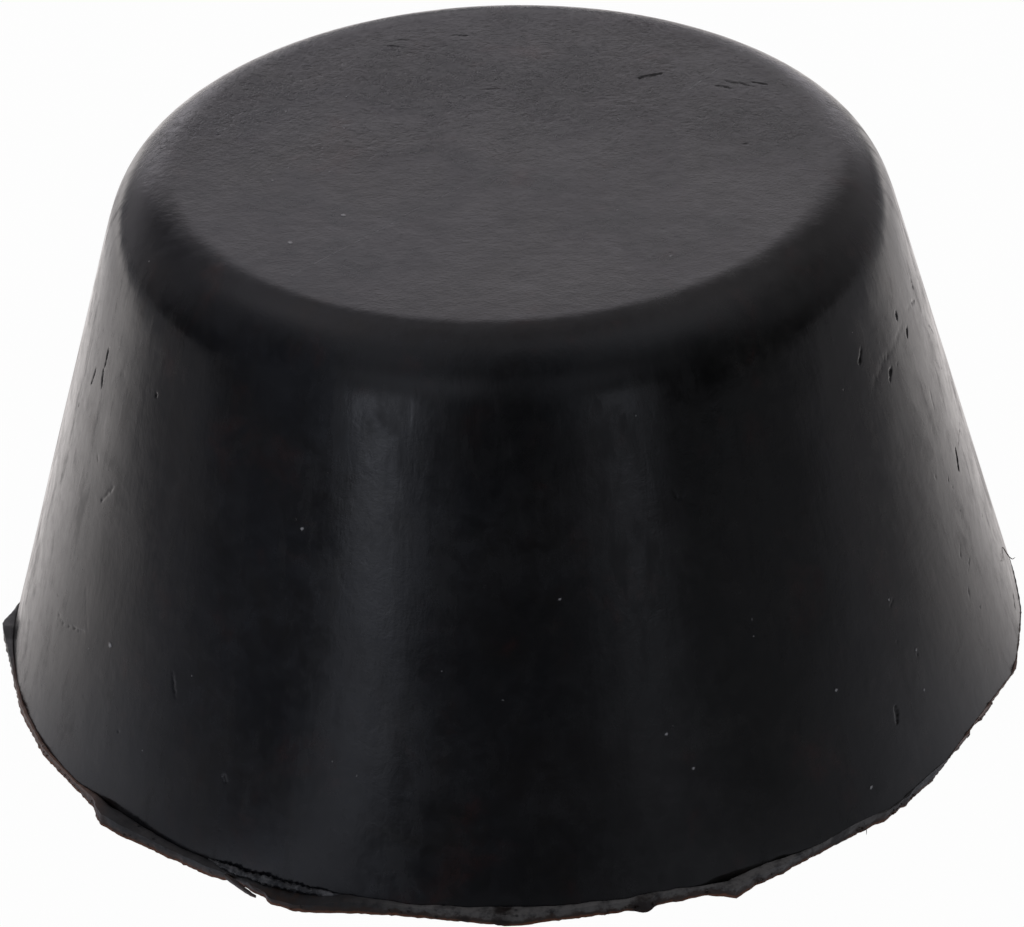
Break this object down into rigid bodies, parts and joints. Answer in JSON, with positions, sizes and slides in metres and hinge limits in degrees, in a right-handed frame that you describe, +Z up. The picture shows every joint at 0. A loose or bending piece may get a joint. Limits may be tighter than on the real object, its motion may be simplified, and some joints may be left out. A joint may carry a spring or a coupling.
{
  "type": "lift rubber pad",
  "caption": "Solid moulded rubber lift pad: a truncated cone with a flat crown, a large rounded shoulder, and a knife-trimmed skirt of flash round its wide foot.",
  "frame": {"origin": "centre of the foot, on the surface that the pad stands on", "axes": "+Z up from the foot through the crown, along the axis of the cone; -Y towards the viewer, +X to the viewer's right"},
  "size_m": [0.1011, 0.1026, 0.0525],
  "materials": {
    "black_rubber": "matt moulded black rubber with a faint bloom, duller on the crown and smoother on the side wall"
  },
  "bodies": {
    "root": {"rubber_pad": "black_rubber"}
  },
  "joints": []
}
